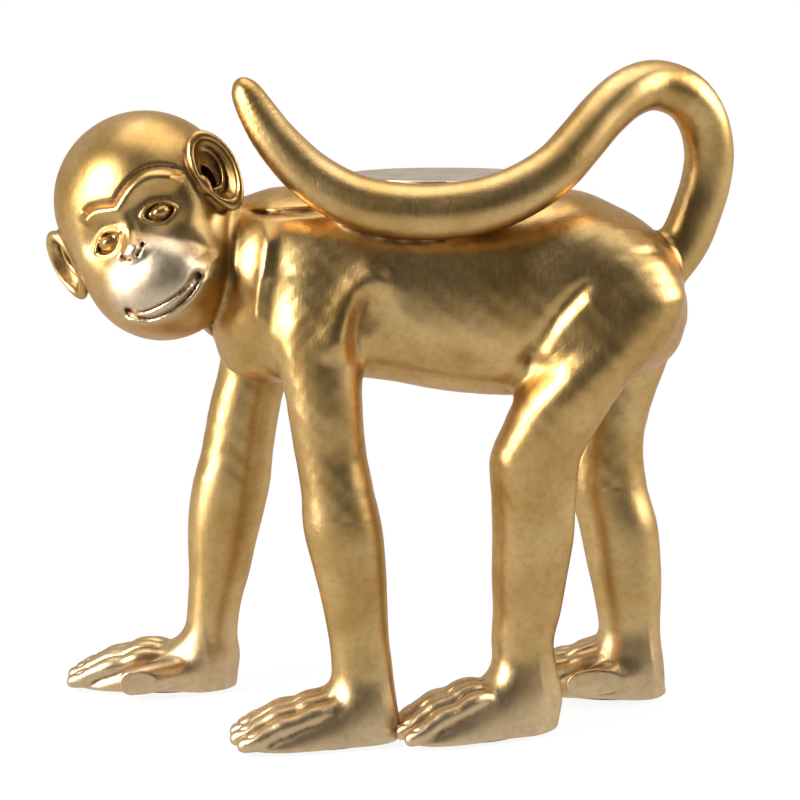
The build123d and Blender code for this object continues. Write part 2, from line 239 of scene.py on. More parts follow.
@dataclass
class Torso:
    """The trunk, with the boss under the plate."""

    length: float = 125.0
    half_width: float = 29.0
    half_height: float = 26.5
    rise: float = 4.0
    squareness: float = 2.4
    boss_station: float = 60.9
    boss_radius: float = 16.5
    boss_heights: tuple = (120.0, 145.3)
    boss_blend: float = 3.0
    rings_share: tuple = (
        (0.000, -1.40, 0.12, 0.12),
        (0.016, -1.10, 0.48, 0.48),
        (0.050, -0.20, 0.74, 0.78),
        (0.110, 0.35, 0.89, 0.95),
        (0.200, 0.62, 0.97, 0.95),
        (0.330, 0.54, 1.00, 0.92),
        (0.500, -0.02, 0.97, 0.97),
        (0.640, -0.10, 0.96, 1.00),
        (0.760, 0.10, 0.98, 1.00),
        (0.860, -0.15, 0.91, 0.86),
        (0.930, -0.45, 0.75, 0.69),
        (0.975, -0.75, 0.52, 0.47),
        (1.000, -1.20, 0.16, 0.14),
    )

    def __post_init__(self) -> None:
        """Works out the sections."""
        rows = [
            (FRONT + along * self.length, 0.0, SPINE_HEIGHT + lift * self.rise,
             wide * self.half_width, high * self.half_height)
            for along, lift, wide, high in self.rings_share
        ]
        self.form = SectionForm(rows, self.squareness)

    def distance(self, points: Points) -> Values:
        """Gives the distances to the bare trunk and its boss, in mm."""
        x, y, z = points.T
        low, high = self.boss_heights
        boss = np.maximum(np.hypot(x - FRONT - self.boss_station, y) - self.boss_radius, z - high)
        return smooth_min(self.form.distance(x, y, z), np.maximum(boss, low - z), self.boss_blend)


@dataclass
class Limb:
    """A leg with its hand or foot.

    Args:
        name: its CAD node.
        side: the side that it stands on.
        station: how far behind the front its top is, in mm.
        stride: how far behind its top the ankle is, in mm.
        track_from: how far to the side its top is, in mm.
        track_to: how far to the side its ankle is, in mm.
        half_width: half the leg's size along the body, in mm.
        half_depth: half its size across the body, in mm.
        rings_share: its sections, as shares of the spine's height, the stride, the track and the half sizes.
        heel: how far the sole reaches behind the ankle, in mm.
        splay: how far the sole turns outward, in degrees.
        sole_length: length of the sole, in mm.
        sole_width: width of the sole, in mm.
        sole_height: height of the sole, in mm.
    """

    name: str
    side: Side
    station: float
    stride: float
    track_from: float
    track_to: float
    half_width: float
    half_depth: float
    rings_share: tuple
    heel: float
    splay: float
    sole_length: float
    sole_width: float
    sole_height: float
    blend: float = 6.0
    bulge: float = 2.0
    bulge_height_share: float = 0.84
    bulge_reach_share: float = 0.15
    floor: float = 1.0
    under_floor: float = -4.0
    under_share: tuple = (0.16, 0.84, 0.80)
    top_share: tuple = (0.02, 0.08)
    hand_height_share: float = 0.34
    fingers: int = 4
    finger_spread_share: float = 0.77
    finger_blends: tuple = (0.4, 0.8, 1.6)
    shorter_share: float = 0.05
    heel_taper_share: float = 0.02
    heel_sink: float = 0.0
    heel_sink_from: float = 5.0
    heel_sink_reach: float = 9.0
    sole_squareness: float = 2.6
    nail_rim: tuple = (0.28, 0.26)
    nail_lift_share: float = 0.75
    nail_size_share: float = 0.62
    nail_stretch_share: tuple = (1.35, 1.0, 1.6)
    finger_rows_share: tuple = (
        (0.34, 0.52, 0.80, 0.085),
        (0.46, 0.64, 0.88, 0.108),
        (0.54, 0.72, 0.82, 0.122),
        (0.62, 0.79, 0.70, 0.108),
        (0.72, 0.86, 0.60, 0.120),
        (0.80, 0.90, 0.46, 0.106),
        (0.89, 0.92, 0.28, 0.112),
        (0.955, 0.92, 0.18, 0.092),
    )
    thumb_share: tuple = (
        (0.20, 0.24, 0.50, 0.160),
        (0.32, 0.42, 0.47, 0.165),
        (0.42, 0.56, 0.44, 0.165),
        (0.50, 0.63, 0.40, 0.150),
    )
    sole_rings_share: tuple = (
        (0.030, 0.48, 0.80),
        (0.100, 0.64, 1.12),
        (0.220, 0.74, 1.26),
        (0.360, 0.82, 1.10),
        (0.520, 0.92, 0.86),
        (0.680, 0.95, 0.60),
        (0.800, 0.88, 0.38),
        (0.880, 0.72, 0.24),
        (0.920, 0.50, 0.16),
        (0.940, 0.20, 0.10),
    )

    def __post_init__(self) -> None:
        """Works out the leg's sections, the sole's frame, the fingers and the thumb."""
        height, along, across, wide, deep = self.rings_share[0]
        lift, thin = self.top_share
        rows = []
        for height, along, across, wide, deep in (
            (height + lift, along, across, thin * wide, thin * deep), *self.rings_share
        ):
            swell = dent(height - self.bulge_height_share, self.bulge_reach_share, self.bulge)
            rows.append((
                height * SPINE_HEIGHT,
                FRONT + self.station + along * self.stride,
                self.side.value * (self.track_from + swell + across * (self.track_to - self.track_from)),
                wide * self.half_width,
                deep * self.half_depth,
            ))
        _, x, y, wide, deep = rows[-1]
        shift, narrow, flat = self.under_share
        rows.append((self.under_floor, x - shift * deep, y, narrow * wide, flat * deep))
        self.leg_form = SectionForm(rows)
        swing = math.radians(self.splay * self.side.value)
        self.ahead = np.array([-math.cos(swing), math.sin(swing), 0.0])
        self.left = np.array([self.ahead[1], -self.ahead[0], 0.0])
        ankle = np.array([x, self.side.value * self.track_to, self.floor])
        self.origin = ankle - self.ahead * self.heel
        taper = self.heel_taper_share
        heel_rings = ((-taper, 0.04, 0.06), (-0.7 * taper, 0.13, 0.20), (-0.3 * taper, 0.24, 0.38))
        self.sole_form = SectionForm(
            [
                (along * self.sole_length, 0.0, 0.0, wide * self.sole_width / 2, high * self.sole_height)
                for along, wide, high in heel_rings + self.sole_rings_share
            ],
            self.sole_squareness,
        )
        self.finger_curves = [self.finger_curve(n / (self.fingers - 1) - 0.5) for n in range(self.fingers)]
        self.thumb_curve = curve_through([
            (along * self.sole_length, -self.side.value * across * self.sole_width,
             lift * self.sole_height, thick * self.sole_width)
            for along, across, lift, thick in self.thumb_share
        ])

    def finger_curve(self, place: float) -> Points:
        """Lays out one finger on the hand.

        Args:
            place: from -0.5 at one edge of the hand to 0.5 at the other.

        Returns:
            The finger's line in the sole's frame, with its radii as last column.
        """
        length = self.sole_length * (1.0 - self.shorter_share * (2.0 * abs(place + 0.08)) ** 2)
        height = self.sole_height * (0.92 + 0.14 * math.sin(math.pi * abs(place * self.side.value + 0.5)))
        width = self.sole_width
        across = place * self.finger_spread_share * width
        return curve_through([
            (along * length, across * spread, lift * height, thick * width)
            for along, spread, lift, thick in self.finger_rows_share
        ])

    def leg_distance(self, points: Points) -> Values:
        """Gives the distances to the leg without its hand, in mm."""
        return self.leg_form.distance(points[:, 2], points[:, 0], points[:, 1])

    def hand_distance(self, points: Points) -> Values:
        """Gives the distances to the hand or foot, in mm."""
        reach = points - self.origin
        own = np.column_stack([reach @ self.ahead, reach @ self.left, reach[:, 2]])
        palm = self.sole_form.distance(*own.T)
        palm += self.heel_sink * smooth_step((self.heel_sink_from - own[:, 0]) / self.heel_sink_reach)
        between, knuckle, thumb_root = self.finger_blends
        best = None
        for curve in self.finger_curves:
            finger = rod_distance(own, curve[:, :3], curve[:, 3])
            best = finger if best is None else smooth_min(best, finger, between)
        thumb = rod_distance(own, self.thumb_curve[:, :3], self.thumb_curve[:, 3])
        return smooth_min(smooth_min(palm, best, knuckle), thumb, thumb_root) + self.nail_relief(own)

    def nail_relief(self, own: Points) -> Values:
        """Gives the sunk rim round each finger nail, from points in the sole's frame."""
        relief = np.zeros(len(own))
        for curve in self.finger_curves:
            x, y, z, radius = curve[-4]
            apart = (own - (x, y, z + radius * self.nail_lift_share)) / self.nail_stretch_share
            relief += band(np.linalg.norm(apart, axis=1), radius * self.nail_size_share, *self.nail_rim)
        return relief

    def distance(self, points: Points) -> Values:
        """Gives the distances to the whole limb, in mm."""
        result = self.leg_distance(points)
        low = points[:, 2] < self.hand_height_share * SPINE_HEIGHT
        if low.any():
            joined = smooth_min(result[low], self.hand_distance(points[low]), self.blend)
            result[low] = smooth_max(joined, self.floor - points[low, 2], 1.0)
        return result


@dataclass
class Head:
    """The head in its own frame: ahead, to its left and up, from the midpoint between the ears.

    Lines on the face are seen from the front, as places to its left and up. A groove is given by its width and
    its depth, with the distance from its line before them where it runs beside the line. A ball is given by its
    centre and its radii. All sizes are in mm.
    """

    origin: tuple = (-63.2, -9.0, 134.8)
    reach: float = 48.0
    turn: float = 84.0
    nod: float = -4.6
    tilt: float = 28.0
    cranium: tuple = ((-4.0, 2.8, 4.9), (23.0, 23.6, 23.2))
    jaw: tuple = ((1.0, 0.4, -11.6), (20.4, 20.4, 20.5))
    muzzle: tuple = ((9.4, 0.0, -16.6), (14.6, 15.2, 13.0))
    jaw_blend: float = 7.0
    muzzle_blend: float = 3.0
    face_from: float = 2.0
    roll: tuple = (1.9, 1.35)
    brow: tuple = (0.75, 0.8)
    cheek: tuple = (2.4, 1.0)
    eyes: tuple = ((16.0, 8.7, -1.6), (16.0, -6.4, -2.3))
    socket_depths: tuple = (2.1, 1.8)
    socket_size: tuple = (6.3, 5.2)
    socket_lift: float = 0.8
    eye_half: tuple = (3.3, 2.2)
    eye_power: float = 1.6
    eye_lean: float = 0.16
    eye_rim: tuple = (0.98, 0.15, 0.70)
    lid: tuple = (1.24, 0.22, 1.0)
    lid_heights: tuple = (0.80, 0.42)
    lid_crease: tuple = (1.66, 0.13, 0.22)
    lid_reach: float = 2.4
    eyeball: tuple = ((-0.5, 0.0, 0.0), (2.8, 2.85, 2.15))
    pupil: tuple = ((1.8, -0.2, 0.1), (0.8, 1.15, 1.05))
    bridge: tuple = ((17.6, 0.6, 1.0), (18.6, 0.2, -3.0), (20.8, -0.4, -6.6))
    bridge_radii: tuple = (1.5, 1.5, 1.9)
    nose_tip: tuple = ((21.3, -0.9, -8.2), (2.2, 3.3, 2.1))
    nostrils: tuple = (((1.9, -7.0), (1.2, -8.0), (-0.1, -8.9)), ((-4.3, -7.4), (-3.5, -8.2), (-2.4, -9.0)))
    nostril: tuple = (0.55, 1.0)
    nostrils_from: float = 15.0
    nose_blends: tuple = (2.2, 1.6)
    ear_centres: tuple = ((9.0, 24.8, 2.4), (-3.0, -22.4, 0.0))
    ear_flares: tuple = (34.0, 46.0)
    ear_radii: tuple = (9.5, 8.3)
    ear_narrow_share: float = 0.66
    ear_tall_share: float = 0.92
    ear_low_share: float = 0.80
    ear_lean: float = 0.02
    lobe_narrowing: float = 0.009
    ear_room: float = 8.0
    ear_cup: tuple = ((-2.2, 0.0, 0.0), 4.6, 0.5)
    ear_bowl: tuple = ((2.0, 0.0, 0.0), 3.9, 2.6)
    ear_flap: tuple = ((0.4, -4.4, -2.6), (1.6, 1.5, 2.6))
    ear_hole: tuple = ((-1.6, -1.6, -1.2), (4.2, 1.7, 3.2))
    rim_radius: float = 1.35
    rim_place: tuple = (1.25, 0.9)
    fold_radius: float = 0.70
    fold_place: tuple = (4.4, -0.8)
    fold_shift: tuple = (1.3, -0.9)
    thinning: float = 0.9
    brow_lines: tuple = (
        ((-9.0, 6.9), (-8.0, 7.5), (-6.3, 7.8), (-4.5, 7.4), (-2.7, 6.8), (-1.1, 6.1), (0.3, 5.9)),
        ((0.3, 5.9), (2.7, 7.3), (5.6, 8.6), (8.5, 9.4), (11.2, 9.4), (14.2, 8.4), (16.7, 6.6), (18.5, 4.4)),
    )
    brow_rolls: tuple = (
        ((-9.6, 4.0), (-7.6, 5.2), (-5.0, 5.2), (-2.6, 4.3), (0.2, 3.4)),
        ((0.2, 3.4), (3.0, 5.0), (5.8, 6.4), (9.0, 7.1), (12.0, 6.7), (15.0, 5.1), (17.2, 2.8)),
    )
    cheek_creases: tuple = (
        ((2.0, -4.0), (4.2, -5.0), (6.6, -7.0), (9.4, -9.2), (12.0, -12.0), (13.8, -15.2), (14.4, -18.6)),
    )
    mouth_upper: tuple = (
        (-9.6, -19.6), (-8.0, -21.2), (-5.3, -22.1), (-1.5, -22.5), (2.8, -22.3), (6.9, -21.5), (8.8, -20.8),
        (10.3, -20.0),
    )
    mouth_lower: tuple = (
        (-9.4, -21.0), (-6.3, -23.8), (-3.3, -24.8), (1.1, -24.9), (5.0, -24.0), (7.9, -22.6), (10.0, -20.8)
    )
    mouth_corners: tuple = ((10.6, -20.1, 0.35), (-9.7, -19.8, 0.5))
    mouth_gap: tuple = (1.7, 1.1, 0.42)
    teeth: tuple = (2.2, 0.4, 0.04)
    teeth_pitch: float = 5.5
    lower_lip: tuple = (1.5, 1.3, 0.50)
    lip_below: tuple = (-20.4, 1.8)
    corner_width: float = 1.2
    lip_grooves: tuple = ((0.55, 0.62), (0.60, 0.34))

    def __post_init__(self) -> None:
        """Works out the head's axes and rounds its lines."""
        turn, nod, tilt = (math.radians(angle) for angle in (self.turn, self.nod, self.tilt))
        level_ahead = np.array([-math.cos(turn), -math.sin(turn), 0.0])
        level_left = np.array([math.sin(turn), -math.cos(turn), 0.0])
        upright = np.array([0.0, 0.0, 1.0])
        nodded_up = upright * math.cos(nod) + level_ahead * math.sin(nod)
        ahead = level_ahead * math.cos(nod) - upright * math.sin(nod)
        up = nodded_up * math.cos(tilt) - level_left * math.sin(tilt)
        left = level_left * math.cos(tilt) + nodded_up * math.sin(tilt)
        self.axes = np.column_stack([ahead, left, up])
        self.rolls, self.brows, self.cheeks = (
            [curve_through(line) for line in lines]
            for lines in (self.brow_rolls, self.brow_lines, self.cheek_creases)
        )
        self.lips = [curve_through(line) for line in (self.mouth_upper, self.mouth_lower)]

    def own_frame(self, points: Points) -> Points:
        """Turns points into the head's own frame."""
        return (points - np.array(self.origin)) @ self.axes

    def distance(self, points: Points) -> Values:
        """Gives the distances to the whole head, in mm."""
        own = self.own_frame(points)
        shape = smooth_min(ball_distance(own, *self.cranium), ball_distance(own, *self.jaw), self.jaw_blend)
        shape = smooth_min(shape, ball_distance(own, *self.muzzle), self.muzzle_blend)
        front = own[:, 0] > self.face_from
        if front.any():
            shape[front] = self.face(own[front], shape[front])
        for centre, flare, radius in zip(self.ear_centres, self.ear_flares, self.ear_radii):
            near = np.linalg.norm(own - np.array(centre), axis=1) < radius + self.ear_room
            if near.any():
                shape[near] = self.ear(own[near], shape[near], centre, flare, radius)
        return shape

    def stroke(self, flat: Points, lines: list, width: float, depth: float) -> Values:
        """Gives the depth of soft grooves that fade at their ends away from the nose.

        Args:
            flat: points as seen from the front.
            lines: the grooves' lines.
            width: how wide the grooves are.
            depth: how deep they are.

        Returns:
            The depth at each point.
        """
        total = np.zeros(len(flat))
        for line in lines:
            distance, way = chain_distance(flat, line)
            outer = way if abs(line[0, 0]) > abs(line[-1, 0]) else 1.0 - way
            total = np.maximum(total, np.exp(-(distance / width) ** 2) * np.clip(outer * 7.0, 0.0, 1.0))
        return total * depth

    def face(self, own: Points, shape: Values) -> Values:
        """Carves the face into the front of the head.

        Args:
            own: points in the head's own frame.
            shape: distances to the bare head at them.

        Returns:
            Distances to the head with its face.
        """
        flat = own[:, 1:]
        for (_, left, up), deep in zip(self.eyes, self.socket_depths):
            apart = (flat - (left, up + self.socket_lift)) / self.socket_size
            shape = shape + deep * np.exp(-np.linalg.norm(apart, axis=1) ** 3)
        shape = shape - self.stroke(flat, self.rolls, *self.roll)
        shape = shape + self.stroke(flat, self.brows, *self.brow)
        shape = shape + self.stroke(flat, self.cheeks, *self.cheek)
        shape = self.mouth(flat, self.nose(own, shape))
        for centre in self.eyes:
            shape = self.eye(own - np.array(centre), shape, math.copysign(self.eye_lean, centre[1]))
        return shape

    def nose(self, own: Points, shape: Values) -> Values:
        """Adds the flat nose with its two nostrils, with the arguments of face."""
        bridge_blend, tip_blend = self.nose_blends
        shape = smooth_min(shape, rod_distance(own, np.array(self.bridge), self.bridge_radii), bridge_blend)
        shape = smooth_min(shape, ball_distance(own, *self.nose_tip), tip_blend)
        for line in self.nostrils:
            slit, _ = chain_distance(own[:, 1:], np.array(line))
            shape = shape + dent(slit, *self.nostril) * (own[:, 0] > self.nostrils_from)
        return shape

    def mouth(self, flat: Points, shape: Values) -> Values:
        """Opens the smiling lips.

        Args:
            flat: points as seen from the front.
            shape: distances to the face so far.

        Returns:
            Distances to the face with its mouth.
        """
        upper, lower = (chain_distance(flat, line)[0] for line in self.lips)
        gap = upper + lower
        teeth = np.sin(flat[:, 0] * self.teeth_pitch) * trench(gap, *self.teeth)
        height, reach = self.lip_below
        lip = band(lower, *self.lower_lip) * np.clip((height - flat[:, 1]) / reach, 0.0, 1.0)
        shape = shape + trench(gap, *self.mouth_gap) + teeth - lip
        for distance, groove in zip((upper, lower), self.lip_grooves):
            shape = shape + dent(distance, *groove)
        for left, up, deep in self.mouth_corners:
            shape = shape + dent(np.linalg.norm(flat - (left, up), axis=1), self.corner_width, deep)
        return shape

    def eye(self, reach: Points, shape: Values, lean: float) -> Values:
        """Sets one eye between its lids.

        Args:
            reach: points in the head's frame, from the middle of the eye.
            shape: distances to the face so far.
            lean: how much the eye slants.

        Returns:
            Distances to the face with that eye.
        """
        across = reach[:, 1]
        slant = reach[:, 2] + lean * across
        ways = zip((across, slant), self.eye_half)
        almond = sum((np.abs(way) / half) ** self.eye_power for way, half in ways)
        outline = np.maximum(almond, 1e-6) ** (1 / self.eye_power)
        upper_lid, lower_lid = self.lid_heights
        relief = (
            band(outline, *self.eye_rim)
            - band(outline, *self.lid) * np.where(slant > 0.0, upper_lid, lower_lid)
            - band(outline, *self.lid_crease) * np.clip(slant - 0.3, 0.0, 1.0)
        )
        shape = shape + relief * (outline < self.lid_reach)
        shape = smooth_min(shape, ball_distance(reach, *self.eyeball), 0.25)
        return smooth_min(shape, ball_distance(reach, *self.pupil), 0.35)

    def ear(self, own: Points, shape: Values, centre: tuple, flare_degrees: float, radius: float) -> Values:
        """Adds one ear cup with its folded rim.

        Args:
            own: points in the head's own frame.
            shape: distances to the head so far.
            centre: the ear's place.
            flare_degrees: how far it turns from facing ahead towards its own side.
            radius: half its height.

        Returns:
            Distances to the head with that ear.
        """
        side = math.copysign(1.0, centre[1])
        flare = math.radians(flare_degrees) * side
        ahead, left, high = (own - np.array(centre)).T
        out = ahead * math.cos(flare) + left * math.sin(flare)
        across = (left * math.cos(flare) - ahead * math.sin(flare)) * side + self.ear_lean * high
        wide = across / (self.ear_narrow_share - self.lobe_narrowing * np.clip(-high, 0.0, 12.0))
        tall = high * np.where(high < 0.0, self.ear_low_share, self.ear_tall_share)
        even = np.column_stack([out, wide, tall])
        plain = np.column_stack([out, across, high])
        cup, bowl = (
            ball_distance(even, place, (deep, radius - inset, radius - inset))
            for place, deep, inset in (self.ear_cup, self.ear_bowl)
        )
        flap, hole = (ball_distance(plain, *ball) for ball in (self.ear_flap, self.ear_hole))
        front = np.clip((-across - 1.5) / 3.5, 0.0, 1.0) * np.clip((3.0 - high) / 7.0, 0.0, 1.0)
        inset, forward = self.rim_place
        rim = np.hypot(np.hypot(wide, tall) - (radius - inset), out - forward) - self.rim_radius
        rim += self.thinning * front
        back, lift = self.fold_shift
        inset, forward = self.fold_place
        ring = np.hypot(wide + back, tall + lift)
        fold = np.hypot(ring - (radius - inset), out - forward) - self.fold_radius
        fold += self.thinning * np.clip(-0.4 - 0.35 * across, 0.0, 1.0)
        ear = smooth_max(smooth_min(cup, rim, 0.9), -bowl, 0.6)
        ear = smooth_min(smooth_min(ear, fold, 0.6), flap, 0.8)
        return smooth_max(smooth_min(shape, ear, 1.6), -hole, 0.5)


@dataclass
class Tail:
    """The tail, a long rod from the rump to an upturned tip."""

    radius: float = 6.47
    reach: float = 104.0
    side: float = 27.4
    rise: float = 54.5
    root_station: float = 112.0
    path_share: tuple = (
        (-0.010, -0.04, 0.007, 1.08),
        (-0.071, -0.08, 0.122, 1.08),
        (-0.124, -0.12, 0.252, 1.04),
        (-0.155, -0.12, 0.403, 1.02),
        (-0.174, -0.12, 0.533, 1.01),
        (-0.179, -0.08, 0.679, 1.00),
        (-0.157, 0.00, 0.834, 1.00),
        (-0.107, 0.12, 0.950, 1.00),
        (-0.031, 0.22, 0.999, 1.00),
        (0.040, 0.40, 0.964, 0.99),
        (0.104, 0.56, 0.869, 0.98),
        (0.163, 0.72, 0.747, 0.98),
        (0.225, 0.86, 0.626, 1.00),
        (0.311, 0.97, 0.524, 1.05),
        (0.408, 1.02, 0.458, 1.09),
        (0.529, 1.00, 0.432, 1.09),
        (0.638, 0.98, 0.445, 1.08),
        (0.731, 0.94, 0.496, 1.03),
        (0.822, 0.88, 0.599, 0.97),
        (0.900, 0.82, 0.750, 0.86),
        (0.943, 0.78, 0.868, 0.75),
        (0.970, 0.75, 0.955, 0.62),
        (0.980, 0.74, 0.990, 0.45),
    )

    def __post_init__(self) -> None:
        """Rounds the tail's line."""
        self.curve = curve_through([
            (FRONT + self.root_station - back * self.reach, -left * self.side,
             SPINE_HEIGHT + lift * self.rise, thick * self.radius)
            for back, left, lift, thick in self.path_share
        ])

    def distance(self, points: Points) -> Values:
        """Gives the distances to the tail, in mm."""
        return rod_distance(points, self.curve[:, :3], self.curve[:, 3])


@dataclass
class Fold:
    """A raised or sunk line on the left flank, drawn as seen from that side.

    Args:
        line: its points, way along X and height, in mm.
        width: how wide it is, in mm.
        depth: how deep it is, or how high where negative, in mm.
        fade: how fast it starts at its ends, 2 for over its whole length.
        flank: how far to the side it starts and is full, in mm.
    """

    line: tuple
    width: float
    depth: float
    fade: float = 5.0
    flank: tuple = (4.0, 12.0)

    def __post_init__(self) -> None:
        """Rounds the line."""
        self.curve = curve_through(self.line)

    def relief(self, points: Points) -> Values:
        """Gives what the fold takes away at each point, in mm."""
        distance, way = chain_distance(points[:, [0, 2]], self.curve)
        start, full = self.flank
        flank = np.clip((points[:, 1] * Side.LEFT.value - start) / (full - start), 0.0, 1.0)
        ends = smooth_step(np.minimum(way, 1.0 - way) * self.fade)
        return dent(distance, self.width, self.depth) * ends * flank


FOREARM_LEFT_SHARES = (
    (1.085, -0.10, -0.45, 0.50, 0.35),
    (1.045, -0.08, -0.30, 0.92, 0.72),
    (0.980, 0.00, -0.10, 1.20, 1.02),
    (0.902, 0.10, 0.15, 1.14, 1.08),
    (0.770, 0.22, 0.60, 1.01, 1.00),
    (0.670, 0.33, 0.85, 0.96, 0.95),
    (0.581, 0.48, 1.05, 0.98, 0.98),
    (0.491, 0.60, 1.15, 1.06, 1.00),
    (0.401, 0.74, 1.10, 0.98, 0.93),
    (0.333, 0.83, 1.05, 0.90, 0.86),
    (0.240, 0.93, 1.00, 0.82, 0.78),
    (0.165, 1.00, 1.00, 0.83, 0.78),
    (0.075, 0.98, 1.00, 0.84, 0.78),
)
FOREARM_RIGHT_SHARES = (
    (1.070, -0.22, -0.60, 0.50, 0.35),
    (1.030, -0.16, -0.40, 0.90, 0.72),
    (0.970, -0.04, -0.15, 1.16, 1.02),
    (0.905, 0.12, 0.15, 1.13, 1.06),
    (0.792, 0.29, 0.50, 1.03, 1.02),
    (0.704, 0.44, 0.75, 1.02, 0.98),
    (0.591, 0.57, 1.00, 1.04, 0.98),
    (0.516, 0.66, 1.10, 1.12, 1.02),
    (0.440, 0.75, 1.12, 1.09, 0.98),
    (0.365, 0.82, 1.08, 0.99, 0.90),
    (0.290, 0.87, 1.04, 0.88, 0.82),
    (0.215, 0.95, 1.00, 0.78, 0.78),
    (0.140, 1.00, 1.00, 0.76, 0.78),
    (0.075, 0.98, 1.00, 0.78, 0.78),
)
THIGH_LEFT_SHARES = (
    (1.090, -0.02, -0.10, 0.55, 0.40),
    (1.050, -0.02, 0.00, 0.98, 0.85),
    (1.000, 0.00, 0.05, 1.27, 1.14),
    (0.902, 0.22, -0.20, 1.25, 1.16),
    (0.803, 0.56, -0.60, 1.19, 1.14),
    (0.723, 0.75, -0.80, 1.13, 1.08),
    (0.645, 0.90, -0.70, 1.07, 1.00),
    (0.554, 0.91, -0.30, 1.00, 0.94),
    (0.462, 0.91, 0.20, 0.97, 0.92),
    (0.368, 0.94, 0.60, 0.90, 0.84),
    (0.288, 0.96, 0.90, 0.82, 0.76),
    (0.211, 1.00, 1.00, 0.75, 0.72),
    (0.140, 0.96, 1.00, 0.76, 0.72),
    (0.075, 0.92, 1.00, 0.78, 0.70),
)
THIGH_RIGHT_SHARES = (
    (1.060, -0.05, -0.10, 0.55, 0.40),
    (1.020, -0.03, 0.00, 0.94, 0.85),
    (0.960, 0.00, 0.05, 1.20, 1.12),
    (0.890, 0.10, -0.20, 1.18, 1.14),
    (0.800, 0.45, -0.60, 1.10, 1.12),
    (0.710, 0.80, -0.80, 1.00, 1.06),
    (0.620, 1.05, -0.70, 0.97, 1.00),
    (0.521, 0.95, -0.30, 0.99, 0.96),
    (0.423, 0.52, 0.20, 0.99, 0.94),
    (0.324, 0.27, 0.60, 0.93, 0.86),
    (0.261, 0.14, 0.90, 0.86, 0.78),
    (0.186, 0.04, 1.00, 0.78, 0.72),
    (0.124, 0.00, 1.00, 0.75, 0.70),
    (0.075, 0.00, 1.00, 0.76, 0.68),
)
FOLDS = (
    Fold(((-29.4, 136.0), (-29.6, 130.0), (-30.4, 124.3), (-31.4, 119.2), (-31.9, 113.0), (-31.2, 106.9)),
         1.9, -1.2),
    Fold(((-27.0, 133.0), (-26.6, 127.0), (-27.0, 120.5), (-28.0, 113.0), (-28.4, 106.0)), 3.4, 0.30),
    Fold(((-23.0, 116.0), (-24.0, 109.0), (-25.0, 102.0), (-26.0, 92.0)), 3.4, -0.6, 2.5),
    Fold(((1.5, 126.0), (-2.4, 122.6), (-6.4, 118.5), (-9.4, 113.5), (-11.6, 107.0), (-13.4, 100.0)),
         4.6, -1.7),
    Fold(((-0.6, 119.6), (-4.2, 116.8), (-6.6, 112.6), (-7.2, 108.0), (-7.4, 103.0), (-7.8, 97.0)),
         2.2, 1.4, 3.0),
    Fold(((-9.0, 121.0), (-4.0, 115.0), (0.0, 110.0), (5.0, 103.0)), 4.8, 1.9, 2.0),
    Fold(((-37.0, 138.0), (-31.0, 137.6), (-26.0, 137.8), (-21.0, 138.2), (-13.0, 138.8)), 0.8, 1.1),
    Fold(((-4.0, 107.0), (1.0, 105.8), (8.0, 103.2), (18.0, 101.0), (28.0, 100.2), (36.5, 99.8)), 3.6, 0.8),
    Fold(((54.0, 122.6), (49.4, 119.0), (44.6, 113.8), (40.6, 108.0), (37.0, 102.2), (35.0, 97.0)),
         2.2, 1.25),
    Fold(((56.0, 119.4), (51.4, 115.4), (47.2, 110.6), (43.0, 104.8), (39.6, 98.5)), 5.5, -1.0),
    Fold(((69.7, 131.5), (72.7, 127.6), (75.1, 124.4), (76.9, 122.2)), 1.4, 0.8),
)


